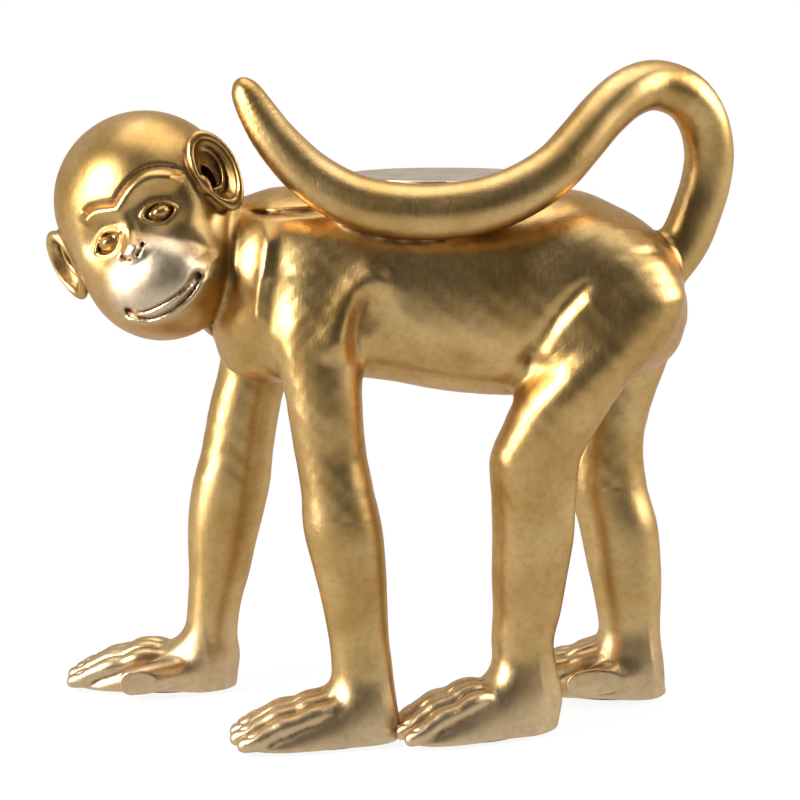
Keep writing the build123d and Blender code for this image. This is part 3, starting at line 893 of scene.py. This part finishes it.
@dataclass
class Figure:
    """The whole figure, whose castings share one skin. All sizes are in mm."""

    torso: Torso = field(default_factory=Torso)
    head: Head = field(default_factory=Head)
    tail: Tail = field(default_factory=Tail)
    neck_line: tuple = ((-28.4, 0.0, 119.5), (-54.3, 0.0, 125.15))
    neck_radii: tuple = (20.0, 15.0)
    folds: tuple = FOLDS
    limb_blend: float = 5.0
    neck_blend: float = 6.0
    head_blend: float = 2.6
    tail_blend: float = 2.5
    tail_near: float = 6.0
    limbs_from: float = 60.0
    overlap: float = 2.5
    sink: float = 0.25
    wave_depth: float = 0.05
    pale_middle: tuple = (19.0, 0.5, -16.0)
    pale_size: tuple = (12.0, 13.0, 10.5)
    # Painted floor reflection: the hands and feet are painted paler the nearer they are to the floor.
    painted_floor_reflection: tuple = (26.0, 22.0)
    painted_floor_reflection_share: float = 0.55

    def __post_init__(self) -> None:
        """Sets out the four limbs."""
        hand = dict(track_from=20.0, half_width=9.6, half_depth=9.6, splay=9.0,
                    sole_length=44.0, sole_width=24.4, sole_height=11.0)
        foot = dict(track_from=18.0, track_to=16.0, half_width=11.0, half_depth=10.2, splay=15.0,
                    sole_length=41.0, sole_width=22.9, sole_height=13.0)
        self.limbs = [
            Limb("foreleg_left", Side.LEFT, 27.5, 12.0, track_to=23.8, rings_share=FOREARM_LEFT_SHARES,
                 heel=9.4, **hand),
            Limb("foreleg_right", Side.RIGHT, 14.5, -18.2, track_to=22.8, rings_share=FOREARM_RIGHT_SHARES,
                 heel=2.6, heel_taper_share=0.08, heel_sink=3.0, **hand),
            Limb("hindleg_left", Side.LEFT, 108.0, -26.2, rings_share=THIGH_LEFT_SHARES,
                 heel=3.2, heel_taper_share=0.07, heel_sink=3.0, **foot),
            Limb("hindleg_right", Side.RIGHT, 113.5, -7.2, rings_share=THIGH_RIGHT_SHARES,
                 heel=9.0, **foot),
        ]

    def pale(self, points: Points) -> Values:
        """Gives how pale the paint is at points: the muzzle's own champagne paint, and a painted floor
        reflection that grows paler towards the floor on the hands and feet.
        """
        away = (self.head.own_frame(points) - np.array(self.pale_middle)) / np.array(self.pale_size)
        muzzle = np.clip((1.15 - np.linalg.norm(away, axis=1)) / 0.35, 0.0, 1.0)
        # Painted reflection of the floor, paler towards the floor on the hands and feet.
        height, reach = self.painted_floor_reflection
        return np.maximum(muzzle, self.painted_floor_reflection_share * np.clip((height - points[:, 2]) / reach, 0.0, 1.0))

    def relief(self, points: Points) -> Values:
        """Gives the folds and the hand-worked unevenness of the skin, in mm."""
        x, y, z = points.T
        wave = np.sin(0.61 * x + 0.35 * z + 1.3) * np.sin(0.47 * y - 0.52 * z + 0.4)
        wave += 0.5 * np.sin(1.13 * x - 0.81 * y + 0.9) * np.sin(1.07 * z + 0.66 * y)
        return sum(fold.relief(points) for fold in self.folds) + self.wave_depth * wave

    def trunk(self, points: Points) -> Values:
        """Gives the distances to the torso with its neck, in mm."""
        neck = rod_distance(points, np.array(self.neck_line), self.neck_radii)
        return smooth_min(self.torso.distance(points), neck, self.neck_blend)

    def share_skin(self, skin: Values, own: Values, other: Values) -> Values:
        """Ends a casting a little way inside its neighbour, sinking under the neighbour's skin.

        Args:
            skin: distances to the skin that both castings share, in mm.
            own: distances to this casting's bare form.
            other: distances to the neighbour's bare form.

        Returns:
            Distances to this casting.
        """
        beyond = own - other
        sunk = skin + self.sink * np.clip(beyond / self.overlap, 0.0, 1.0)
        return np.maximum(sunk, beyond - self.overlap)

    def torso_piece(self, points: Points) -> Values:
        """Gives the distances to the torso casting, in mm."""
        trunk = self.trunk(points)
        skin = trunk
        nearest = self.tail.distance(points)
        tail = nearest.copy()
        for limb in self.limbs:
            part = limb.leg_distance(points)
            skin = smooth_min(skin, part, self.limb_blend)
            nearest = np.minimum(nearest, part)
        skin = skin + self.relief(points)
        near = np.linalg.norm(points - np.array(self.head.origin), axis=1) < self.head.reach
        if near.any():
            head = self.head.distance(points[near])
            skin[near] = smooth_min(skin[near], head, self.head_blend)
            nearest[near] = np.minimum(nearest[near], head)
        skin = np.where(tail < self.tail_near, smooth_min(skin, tail, self.tail_blend), skin)
        return self.share_skin(skin, trunk, nearest)

    def limb_piece(self, limb: Limb) -> Field:
        """Gives the field of one limb's casting, a function from points to distances in mm."""

        def distance(points: Points) -> Values:
            """Gives the distances to this limb's casting, in mm."""
            part = limb.distance(points)
            high = points[:, 2] > self.limbs_from
            if high.any():
                trunk = self.trunk(points[high])
                skin = smooth_min(part[high], trunk, self.limb_blend) + self.relief(points[high])
                part[high] = self.share_skin(skin, part[high], trunk)
            return part

        return distance

    def end_piece(self, end: Head | Tail, blend: float, reach: float) -> Field:
        """Gives the field of the head's or the tail's casting.

        Args:
            end: the head or the tail.
            blend: reach of its fillet on the trunk, in mm.
            reach: how far from the trunk the fillet is looked for, in mm.

        Returns:
            A function from points to distances in mm.
        """

        def distance(points: Points) -> Values:
            """Gives the distances to this casting, in mm."""
            part = end.distance(points)
            trunk = self.trunk(points)
            skin = part.copy()
            near = trunk < reach
            if near.any():
                skin[near] = smooth_min(part[near], trunk[near] + self.relief(points[near]), blend)
            return self.share_skin(skin, part, trunk)

        return distance

    def castings(self) -> list["Casting"]:
        coarser = 1.0
        fields = [
            ("torso", self.torso_piece, 0.70),
            ("head", self.end_piece(self.head, self.head_blend, 8.0), 0.388),
            ("tail", self.end_piece(self.tail, self.tail_blend, 12.0), 0.55),
            *((limb.name, self.limb_piece(limb), 0.45) for limb in self.limbs),
        ]
        return [Casting(name, distance, voxel * coarser, self.pale) for name, distance, voxel in fields]


@dataclass
class Casting:
    """One gold casting: a closed mesh read from its field, riding on the frame.

    Args:
        node: the CAD node that it replaces.
        distance: its field, in mm.
        voxel: size of the grid that it is read on, in mm.
        pale: how pale it is painted at points, from the muzzle's champagne paint and a painted floor reflection
            low on the hands and feet.
        margin: how far the grid reaches past the node's box, in mm.
        coarse: how many fine cells a coarse one is wide.
        hollows: for each attribute that marks hollows, how wide it looks in mm, and its strength; crease marks
            fine crevices for the patina, shade marks wider hollows for painted shade.
    """

    node: str
    distance: Field
    voxel: float
    pale: Field
    margin: float = 2.0
    coarse: int = 4
    hollows: tuple = (("crease", 0.8, 11.0), ("shade", 3.0, 1.2))

    def volume(self) -> tuple[Values, Values]:
        """Samples the field on a grid round the CAD node's box, finely only near the skin.

        Returns:
            The grid of distances, and its first corner, both in mm.
        """
        cell = self.voxel * self.coarse
        corner, far = (np.array(place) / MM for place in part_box(self.node))
        counts = np.ceil((far - corner + 2 * self.margin) / cell).astype(int) + 1
        corner = corner - self.margin
        blocks = np.stack(np.indices(counts), axis=-1).reshape(-1, 3) * self.coarse
        middle = (self.coarse - 1) / 2
        rough = self.evaluate(corner + (blocks + middle) * self.voxel)
        grid = np.kron(rough.reshape(counts), np.ones((self.coarse,) * 3)).astype(np.float32)
        close = blocks[np.abs(rough) < cell * 0.87 * 1.3 + 0.4]
        steps = np.stack(np.indices((self.coarse,) * 3), axis=-1).reshape(-1, 3)
        cells = (close[:, None, :] + steps[None]).reshape(-1, 3)
        grid[tuple(cells.T)] = self.evaluate(corner + cells * self.voxel)
        return grid, corner

    def evaluate(self, points: Points) -> Values:
        """Reads the field in batches that stay small in memory."""
        batches = max(1, len(points) // 200000)
        return np.concatenate([self.distance(batch) for batch in np.array_split(points, batches)])

    def normals(self, points: Points, quads: Values) -> tuple[Points, bool]:
        """Works out the directions outward at a closed mesh's points.

        Args:
            points: the mesh's points.
            quads: its faces, four points each.

        Returns:
            The directions, and whether the faces as they stand look outward.
        """
        corners = points[quads]
        across = np.cross(corners[:, 2] - corners[:, 0], corners[:, 3] - corners[:, 1])
        volume = float(np.einsum("ij,ij->", across, corners.mean(axis=1) - points.mean(axis=0)))
        total = np.column_stack([
            np.bincount(quads.ravel(), np.repeat(part, 4), len(points)) for part in across.T
        ])
        length = np.maximum(np.linalg.norm(total, axis=1, keepdims=True), 1e-12)
        return total / length * math.copysign(1.0, volume), volume > 0.0

    def smoothed(self, values: Values, edges: Values, rounds: int) -> Values:
        """Evens out values over neighbouring points.

        Args:
            values: columns of values, a row for each point.
            edges: pairs of neighbouring points.
            rounds: how often it is done.

        Returns:
            The columns, evened out.
        """
        size = len(values)
        first, second = edges.T
        count = np.bincount(first, minlength=size) + np.bincount(second, minlength=size)
        for _ in range(rounds):
            total = np.column_stack([
                np.bincount(first, column[second], size) + np.bincount(second, column[first], size)
                for column in values.T
            ])
            values = 0.5 * values + 0.5 * total / np.maximum(count, 1)[:, None]
        return values

    def build(self) -> bpy.types.Object:
        """Builds the mesh and its attributes.

        Returns:
            The finished object, not yet dressed.
        """
        grid, corner = self.volume()
        level = openvdb.FloatGrid(background=5.0)
        level.copyFromArray(grid, tolerance=0.0)
        points, quads = level.convertToQuads(isovalue=0.0)
        points = points.astype(float) * self.voxel + corner
        normals, outward = self.normals(points, quads)
        for _ in range(2):
            move = np.clip(self.evaluate(points), -0.4 * self.voxel, 0.4 * self.voxel)
            points = points - normals * move[:, None]
        normals, _ = self.normals(points, quads)
        mesh = bpy.data.meshes.new(self.node + "_skin")
        mesh.from_pydata((points * MM).tolist(), [], (quads if outward else quads[:, ::-1]).tolist())
        mesh.polygons.foreach_set("use_smooth", np.ones(len(mesh.polygons), bool))
        edges = np.empty(len(mesh.edges) * 2, np.int32)
        mesh.edges.foreach_get("vertices", edges)
        edges = edges.reshape(-1, 2)
        marks = {"pale": self.pale(points)}
        # How sunk each point is: crease gives the patina of fine crevices, shade gives painted shade in wider
        # hollows.
        for name, reach, strength in self.hollows:
            even = self.smoothed(points, edges, max(2, round((reach / self.voxel) ** 2)))
            sunk = np.clip(np.einsum("ij,ij->i", even - points, normals) * strength, 0.0, 1.0)
            marks[name] = self.smoothed(sunk[:, None], edges, 2)[:, 0]
        for name, values in marks.items():
            attribute = mesh.attributes.new(name, "FLOAT", "POINT")
            attribute.data.foreach_set("value", values.astype(np.float32))
        piece = bpy.data.objects.new(self.node + "_cast", mesh)
        bpy.context.scene.collection.objects.link(piece)
        return piece


class Nodes:
    """A short way to lay out the nodes of a material or of the world."""

    def __init__(self, owner: bpy.types.ID) -> None:
        """Empties the node tree of a material or world."""
        owner.use_nodes = True
        self.owner = owner
        self.tree = owner.node_tree
        self.tree.nodes.clear()

    def add(self, kind: str, **values: object) -> bpy.types.Node:
        """Adds a node.

        Args:
            kind: the node's type.
            values: its properties; or inputs, by name with spaces as underscores or as i and a number, each
                with a value or the socket that it is linked to.

        Returns:
            The new node.
        """
        node = self.tree.nodes.new(kind)
        for key, value in values.items():
            if hasattr(node, key):
                setattr(node, key, value)
                continue
            socket = node.inputs[int(key[1:]) if key[1:].isdigit() else key.replace("_", " ")]
            if isinstance(value, Socket):
                self.tree.links.new(value, socket)
            else:
                socket.default_value = value
        return node

    def noise(self, scale: float, detail: float, stretch: tuple = (1.0, 1.0, 1.0),
              turn: tuple = (0.0, 0.0, 0.0), roughness: float = 0.5) -> Socket:
        """Adds a noise on the object's own coordinates.

        Args:
            scale: how fine it is, per metre.
            detail: how many finer layers it has.
            stretch: scale along each axis.
            turn: rotation about each axis, in radians.
            roughness: how strong the finer layers are.

        Returns:
            The socket with its values.
        """
        place = self.add("ShaderNodeTexCoord").outputs["Object"]
        mapping = self.add("ShaderNodeMapping", Scale=stretch, Rotation=turn, Vector=place)
        return self.add("ShaderNodeTexNoise", Scale=scale, Detail=detail, Roughness=roughness,
                        Vector=mapping.outputs["Vector"]).outputs["Fac"]

    def ramp(self, source: Socket, start: tuple, end: tuple) -> Socket:
        """Maps values to greys, each end a place and its grey."""
        node = self.add("ShaderNodeValToRGB", Fac=source)
        for element, (place, grey) in zip(node.color_ramp.elements, (start, end)):
            element.position = place
            element.color = (grey, grey, grey, 1.0)
        return node.outputs["Color"]

    def mix(self, amount: Socket, first: Socket | tuple, second: Socket | tuple) -> Socket:
        """Mixes two colours, each a socket or a plain colour, by the share of the second."""
        first, second = (one if isinstance(one, Socket) else (*one, 1.0) for one in (first, second))
        return self.add("ShaderNodeMix", data_type="RGBA", i0=amount, i6=first, i7=second).outputs[2]

    def math(self, operation: str, *values: Socket | float, clamp: bool = False) -> Socket:
        """Works out a sum of numbers, each a socket or a plain number."""
        inputs = {f"i{index}": value for index, value in enumerate(values)}
        return self.add("ShaderNodeMath", operation=operation, use_clamp=clamp, **inputs).outputs[0]

    def attribute(self, name: str) -> Socket:
        """Reads one of the mesh's own values."""
        return self.add("ShaderNodeAttribute", attribute_name=name).outputs["Fac"]

    def bump(self, height: Socket, strength: float) -> Socket:
        """Gives the directions of a fine relief of at most 0.2 mm."""
        return self.add("ShaderNodeBump", Strength=strength, Distance=0.0002, Height=height).outputs[0]

    def fade(self, place: Socket, limits: tuple) -> Socket:
        """Fades a strength softly along Y, from one place and strength to another."""
        along = self.add("ShaderNodeSeparateXYZ", i0=place).outputs["Y"]
        (start, weak), (end, strong) = limits
        return self.add("ShaderNodeMapRange", interpolation_type="SMOOTHSTEP", Value=along, From_Min=start,
                        From_Max=end, To_Min=weak, To_Max=strong).outputs["Result"]

    def either(self, share: Socket, first: bpy.types.Node, second: bpy.types.Node) -> bpy.types.Node:
        """Mixes two shaders by the share of the second."""
        return self.add("ShaderNodeMixShader", i0=share, i1=first.outputs[0], i2=second.outputs[0])

    def finish(self, shader: bpy.types.Node, kind: str = "ShaderNodeOutputMaterial") -> bpy.types.ID:
        """Ends the tree with its shader and returns the material or world."""
        self.add(kind, Surface=shader.outputs[0])
        return self.owner

    def principled(self, **values: object) -> bpy.types.Material:
        """Ends a material with one principled shader, with the values of add."""
        return self.finish(self.add("ShaderNodeBsdfPrincipled", **values))


@dataclass(frozen=True)
class GoldPaint:
    """Brushed metallic gold with brown patina in its fine creases and painted shade in its wider hollows."""

    light: tuple = (0.63, 0.425, 0.18)
    deep: tuple = (0.47, 0.285, 0.09)
    champagne: tuple = (0.71, 0.58, 0.42)
    # Brown of the real patina in fine crevices, also used as painted shade in the wider hollows.
    patina_and_shade: tuple = (0.13, 0.056, 0.024)
    edge: tuple = (0.84, 0.70, 0.62)
    roughness: float = 0.325
    champagne_share: float = 0.85
    # How strongly the shade attribute paints shade into the wider hollows.
    shade_share: float = 0.50

    def material(self) -> bpy.types.Material:
        """Builds the finish."""
        nodes = Nodes(bpy.data.materials.new("gold_paint"))
        pale = nodes.attribute("pale")
        mottle = nodes.ramp(nodes.noise(60.0, 4.0), (0.35, 0.0), (0.65, 1.0))
        colour = nodes.mix(mottle, self.deep, self.light)
        # Champagne by pale: the muzzle's own paint, and a painted floor reflection low on the hands and feet.
        colour = nodes.mix(nodes.math("MULTIPLY", pale, self.champagne_share), colour, self.champagne)
        stroke = nodes.noise(520.0, 3.0, (1.0, 0.25, 1.0), (0.4, 0.9, 0.3))
        colour = nodes.mix(nodes.ramp(stroke, (0.30, 0.16), (0.55, 0.0)), colour, self.patina_and_shade)
        speck = nodes.noise(2400.0, 2.0, roughness=0.7)
        colour = nodes.mix(nodes.ramp(speck, (0.28, 0.35), (0.36, 0.0)), colour, self.patina_and_shade)
        patches = nodes.ramp(nodes.noise(420.0, 3.0), (0.25, 0.55), (0.6, 1.0))
        broken = nodes.math("MULTIPLY", nodes.attribute("crease"), patches)
        # Painted shade: the shade attribute darkens wider hollows towards the brown, on top of the patina in
        # the fine creases.
        shade = nodes.math("MULTIPLY", nodes.attribute("shade"), self.shade_share)
        patina_and_painted_shade = nodes.math("ADD", nodes.ramp(broken, (0.12, 0.0), (0.75, 1.0)), shade, clamp=True)
        colour = nodes.mix(patina_and_painted_shade, colour, self.patina_and_shade)
        brushed = nodes.noise(1500.0, 3.0, (1.0, 1.0, 0.09), (0.5, 0.3, 0.2))
        rough = nodes.math("MULTIPLY_ADD", brushed, 0.15, self.roughness - 0.08)
        rough = nodes.math("ADD", rough, nodes.math("MULTIPLY", patina_and_painted_shade, 0.22), clamp=True)
        rough = nodes.math("ADD", rough, nodes.math("MULTIPLY", pale, 0.07), clamp=True)
        height = nodes.math("MULTIPLY_ADD", brushed, 0.5, nodes.noise(3200.0, 3.0))
        return nodes.principled(Metallic=1.0, Specular_Tint=(*self.edge, 1.0), Base_Color=colour,
                                Roughness=rough, Normal=nodes.bump(height, 0.26))


@dataclass(frozen=True)
class PlateGold:
    """Satin gold on the plate, browner where it is rubbed."""

    light: tuple = (0.50, 0.39, 0.28)
    deep: tuple = (0.38, 0.27, 0.17)

    def material(self) -> bpy.types.Material:
        """Builds the finish."""
        nodes = Nodes(bpy.data.materials.new("plate_gold"))
        rubbed = nodes.ramp(nodes.noise(130.0, 5.0), (0.35, 0.0), (0.6, 1.0))
        rough = nodes.ramp(nodes.noise(700.0, 3.0), (0.3, 0.30), (0.7, 0.46))
        return nodes.principled(Metallic=1.0, Base_Color=nodes.mix(rubbed, self.deep, self.light),
                                Roughness=rough, Normal=nodes.bump(nodes.noise(1600.0, 3.0), 0.08))


@dataclass(frozen=True)
class DowelSteel:
    """Drawn steel of the hidden dowels."""

    colour: tuple = (0.55, 0.55, 0.57)
    dull: tuple = (0.36, 0.35, 0.35)

    def material(self) -> bpy.types.Material:
        """Builds the finish."""
        nodes = Nodes(bpy.data.materials.new("dowel_steel"))
        drawn = nodes.noise(500.0, 3.0, (1.0, 1.0, 0.1))
        colour = nodes.mix(nodes.ramp(drawn, (0.3, 0.0), (0.7, 1.0)), self.dull, self.colour)
        return nodes.principled(Metallic=1.0, Base_Color=colour,
                                Roughness=nodes.ramp(drawn, (0.3, 0.28), (0.7, 0.45)))


@dataclass(frozen=True)
class PadRubber:
    """Matt dark rubber under the soles."""

    colour: tuple = (0.030, 0.026, 0.024)
    dusty: tuple = (0.065, 0.058, 0.052)

    def material(self) -> bpy.types.Material:
        """Builds the finish."""
        nodes = Nodes(bpy.data.materials.new("pad_rubber"))
        dust = nodes.noise(400.0, 4.0)
        colour = nodes.mix(nodes.ramp(dust, (0.4, 0.0), (0.7, 1.0)), self.colour, self.dusty)
        return nodes.principled(Base_Color=colour, Roughness=nodes.ramp(dust, (0.3, 0.75), (0.7, 0.92)),
                                Normal=nodes.bump(nodes.noise(3000.0, 2.0), 0.3))


@dataclass(frozen=True)
class Softbox:
    """A soft lamp: where it hangs and what it points at, in metres, its width and height, and its watts."""

    name: str
    place: tuple
    size: tuple
    power: float
    aim: tuple = (0.0, 0.0, 0.1)

    def build(self) -> None:
        """Hangs the lamp."""
        data = bpy.data.lights.new(self.name, "AREA")
        data.shape = "RECTANGLE"
        data.size, data.size_y = self.size
        data.energy = self.power
        lamp = bpy.data.objects.new(self.name, data)
        lamp.location = self.place
        x, y, z = np.array(self.place) - np.array(self.aim)
        lamp.rotation_euler = (math.atan2(math.hypot(x, y), z), 0.0, math.atan2(x, -y))
        bpy.context.scene.collection.objects.link(lamp)


@dataclass
class Studio:
    """The camera, the floor, the lamps and the pale surround."""

    camera_place: tuple = (0.0040, -0.5964, 0.1874)
    pitch: float = 9.6
    focal_pixels: float = 2268.0
    frame_pixels: float = 800.0
    sensor_width: float = 36.0
    floor_half: float = 3.0
    floor_grey: float = 0.9
    shadow_fade: tuple = ((0.10, 0.90), (0.20, 1.0))
    floor_glow: tuple = ((-0.85, 0.16), (-0.10, 0.85))
    surround_glow: tuple = ((-0.45, 0.115), (0.75, 0.85))
    lamps: tuple = (
        Softbox("key_softbox", (-0.72, -0.44, 0.52), (0.27, 0.31), 12.5),
        Softbox("top_softbox", (0.05, 0.10, 1.10), (1.0, 0.8), 6.0),
        Softbox("side_softbox", (0.86, 0.04, 0.50), (0.70, 0.60), 11.0),
        Softbox("left_strip", (-0.92, -0.28, 0.12), (0.28, 0.45), 6.0, (0.0, 0.0, 0.08)),
    )

    def camera(self) -> None:
        """Sets the camera at the photograph's place and angle."""
        data = bpy.data.cameras.new("photo_camera")
        data.sensor_fit = "HORIZONTAL"
        data.sensor_width = self.sensor_width
        data.lens = self.sensor_width * self.focal_pixels / self.frame_pixels
        data.clip_start = 0.01
        camera = bpy.data.objects.new("photo_camera", data)
        camera.location = self.camera_place
        camera.rotation_euler = (math.radians(90.0 - self.pitch), 0.0, 0.0)
        bpy.context.scene.collection.objects.link(camera)
        bpy.context.scene.camera = camera

    def floor(self) -> None:
        """Lays the pale floor, which keeps a soft shadow and is dim in front for reflections."""
        mesh = bpy.data.meshes.new("floor")
        half = self.floor_half
        corners = [(x * half, y * half, 0.0) for x, y in ((-1, -1), (1, -1), (1, 1), (-1, 1))]
        mesh.from_pydata(corners, [], [(0, 1, 2, 3)])
        floor = bpy.data.objects.new("floor", mesh)
        bpy.context.scene.collection.objects.link(floor)
        nodes = Nodes(bpy.data.materials.new("floor_white"))
        path = nodes.add("ShaderNodeLightPath").outputs
        place = nodes.add("ShaderNodeTexCoord").outputs["Object"]
        away = nodes.add("ShaderNodeVectorMath", operation="LENGTH", i0=place).outputs["Value"]
        share = nodes.math("MULTIPLY", path["Is Camera Ray"], nodes.ramp(away, *self.shadow_fade))
        grey = self.floor_grey
        plain = nodes.add("ShaderNodeBsdfDiffuse", Color=(grey, grey, grey, 1.0))
        mirrored = nodes.add("ShaderNodeEmission", Strength=nodes.fade(place, self.floor_glow))
        white = nodes.add("ShaderNodeEmission", Color=(1.0, 1.0, 1.0, 1.0), Strength=1.0)
        lower = nodes.either(path["Is Glossy Ray"], plain, mirrored)
        mesh.materials.append(nodes.finish(nodes.either(share, lower, white)))

    def world(self) -> None:
        """Surrounds the set: white to the camera, and for reflections pale behind and dim in front."""
        bpy.context.scene.world = bpy.data.worlds.new("studio")
        nodes = Nodes(bpy.context.scene.world)
        place = nodes.add("ShaderNodeTexCoord").outputs["Generated"]
        dim = nodes.add("ShaderNodeBackground", Strength=nodes.fade(place, self.surround_glow))
        white = nodes.add("ShaderNodeBackground", Color=(1.0, 1.0, 1.0, 1.0))
        seen = nodes.add("ShaderNodeLightPath").outputs["Is Camera Ray"]
        nodes.finish(nodes.either(seen, dim, white), "ShaderNodeOutputWorld")

    def build(self) -> None:
        """Sets up the whole studio."""
        self.camera()
        self.floor()
        self.world()
        for lamp in self.lamps:
            lamp.build()
        bpy.context.scene.view_settings.view_transform = "Standard"


def dress(piece: bpy.types.Object, material: bpy.types.Material) -> None:
    """Gives a piece its one material."""
    piece.data.materials.clear()
    piece.data.materials.append(material)


def main() -> None:
    """Sets up the studio, builds the castings and dresses the carried-over nodes."""
    logging.basicConfig(level=logging.INFO, format="%(message)s")
    Studio().build()
    gold = GoldPaint().material()
    for casting in Figure().castings():
        piece = casting.build()
        dress(piece, gold)
        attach(piece, "root")
        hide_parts(casting.node)
        corners = np.array([corner[:] for corner in piece.bound_box]) / MM
        low, high = corners.min(axis=0).round(2), corners.max(axis=0).round(2)
        log.info("%s: %d faces, %s to %s mm", piece.name, len(piece.data.polygons), low, high)
    kinds = {"plate": PlateGold(), "dowel": DowelSteel(), "pad": PadRubber()}
    finishes = {kind: finish.material() for kind, finish in kinds.items()}
    for name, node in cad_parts.items():
        kind = name.rsplit("_", 1)[-1]
        if kind in finishes:
            dress(node, finishes[kind])
            log.info("%s: dressed", name)


if __name__ == "__main__":
    main()
